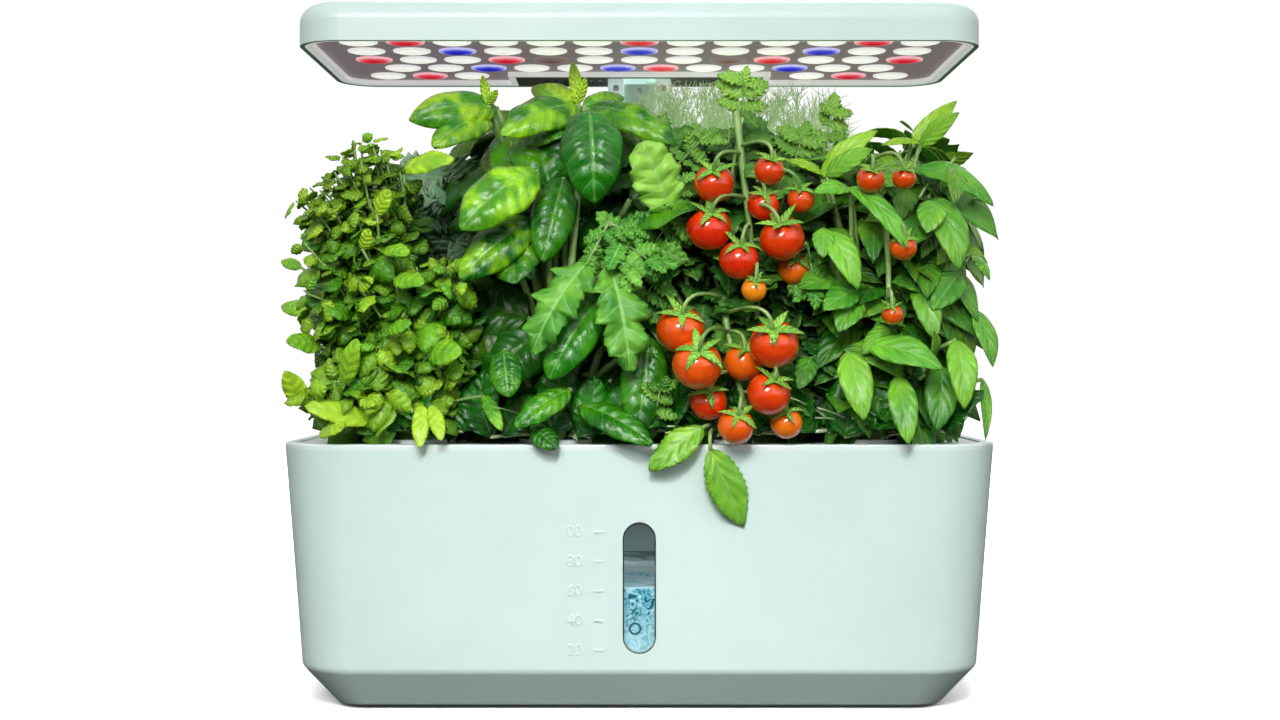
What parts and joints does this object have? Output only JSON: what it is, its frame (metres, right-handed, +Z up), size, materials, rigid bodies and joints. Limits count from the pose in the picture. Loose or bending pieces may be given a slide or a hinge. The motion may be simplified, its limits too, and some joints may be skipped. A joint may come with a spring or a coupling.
{
  "type": "countertop hydroponic garden",
  "caption": "Countertop hydroponic garden: tapered water tank with a level window, planted grow deck, pump, and an LED grow lamp on a telescoping mast.",
  "frame": {"origin": "on the surface that the rubber feet stand on, under the middle of the tank", "axes": "+X right, +Y back, +Z up, seen from the front, where the level window is"},
  "size_m": [0.302, 0.1717, 0.2836],
  "materials": {
    "mint_plastic": "satin moulded plastic",
    "deck_plastic": "satin moulded plastic",
    "button_plastic": "gloss moulded plastic",
    "clear_window": "clear polycarbonate",
    "seal_rubber": "matt rubber",
    "foot_rubber": "matt rubber",
    "white_plastic": "matt moulded plastic",
    "dark_plastic": "matt moulded plastic",
    "board_mask": "solder mask",
    "circuit_green": "solder mask",
    "spreader_metal": "mill finish",
    "mast_metal": "satin anodised",
    "screw_steel": "zinc plated",
    "jack_plastic": "gloss black",
    "switch_black": "matt black",
    "white_lens": "lit white",
    "red_lens": "lit red",
    "blue_lens": "lit blue",
    "far_red_lens": "unlit",
    "led_chip": "phosphor",
    "filter_foam": "open foam",
    "root_sponge": "open foam",
    "impeller_plastic": "matt moulded plastic",
    "magnet": "ground",
    "stator_iron": "laminated, wound",
    "riser_plastic": "semi-clear",
    "lead_sheath": "matt sheath",
    "light_leaf": "leaf",
    "dark_leaf": "leaf",
    "tomato_leaf": "leaf",
    "fruit_skin": "glossy fruit skin"
  },
  "bodies": {
    "tank": {"tank_shell": "mint_plastic", "level_window": "clear_window", "window_gasket": "seal_rubber", "window_retainer": "white_plastic", "rubber_feet": "foot_rubber"},
    "deck": {"grow_deck": "deck_plastic", "net_baskets": "dark_plastic", "seed_sponges": "root_sponge", "flap_pin": "screw_steel", "mast_foot": "mint_plastic", "foot_screws": "screw_steel", "dc_jack": "jack_plastic", "outer_mast": "mint_plastic", "mast_collar": "mint_plastic", "pump_housing": "dark_plastic", "pump_stator": "stator_iron", "pump_end_cap": "dark_plastic", "pump_shaft": "screw_steel", "pump_intake": "dark_plastic", "pump_filter": "filter_foam", "riser_tube": "riser_plastic", "pump_lead": "lead_sheath", "pump_plug": "dark_plastic", "balm_plant": "light_leaf", "chard_plant": "dark_leaf", "tomato_plant": "tomato_leaf", "pepper_plant": "tomato_leaf", "kale_plant": "dark_leaf", "basil_plant": "dark_leaf", "dill_plant": "light_leaf", "thai_basil_plant": "tomato_leaf", "tomato_fruits": "fruit_skin", "trailing_leaves": "light_leaf"},
    "lamp": {"inner_mast": "mast_metal", "slide_shoe": "dark_plastic", "lamp_bracket": "mint_plastic", "bracket_screws": "screw_steel", "plate_screws": "screw_steel", "lamp_shell": "mint_plastic", "led_bezel": "white_plastic", "led_board": "board_mask", "heat_spreader": "spreader_metal", "white_lenses": "white_lens", "red_lenses": "red_lens", "blue_lenses": "blue_lens", "far_red_lenses": "far_red_lens", "led_chips": "led_chip", "driver_cover": "dark_plastic", "cover_screws": "screw_steel", "driver_board": "circuit_green", "switch_board": "circuit_green", "tact_switches": "switch_black"},
    "flap": {"fill_flap": "deck_plastic"},
    "power_key": {"power_button": "button_plastic"},
    "mode_key": {"mode_button": "button_plastic"},
    "rotor": {"impeller": "impeller_plastic", "rotor_magnet": "magnet"}
  },
  "joints": [
    {"name": "deck_lift", "type": "slide", "parent": "tank", "child": "deck", "axis": [0, 0, 1], "range_m": [0, 0.12]},
    {"name": "lamp_height", "type": "slide", "parent": "deck", "child": "lamp", "axis": [0, 0, 1], "range_m": [0, 0.1]},
    {"name": "flap_hinge", "type": "hinge", "parent": "deck", "child": "flap", "pos_m": [0.094, 0.0646, 0.1087], "axis": [-1, 0, 0], "range_deg": [0, 100]},
    {"name": "power_press", "type": "slide", "parent": "lamp", "child": "power_key", "axis": [0, 0, -1], "range_m": [0, 0.0008], "stiffness_N_per_m": 600, "springref_m": -0.001},
    {"name": "mode_press", "type": "slide", "parent": "lamp", "child": "mode_key", "axis": [0, 0, -1], "range_m": [0, 0.0008], "stiffness_N_per_m": 600, "springref_m": -0.001},
    {"name": "rotor_spin", "type": "hinge", "parent": "deck", "child": "rotor", "pos_m": [-0.076, 0.035, 0.0222], "axis": [0, 1, 0], "continuous": true}
  ]
}
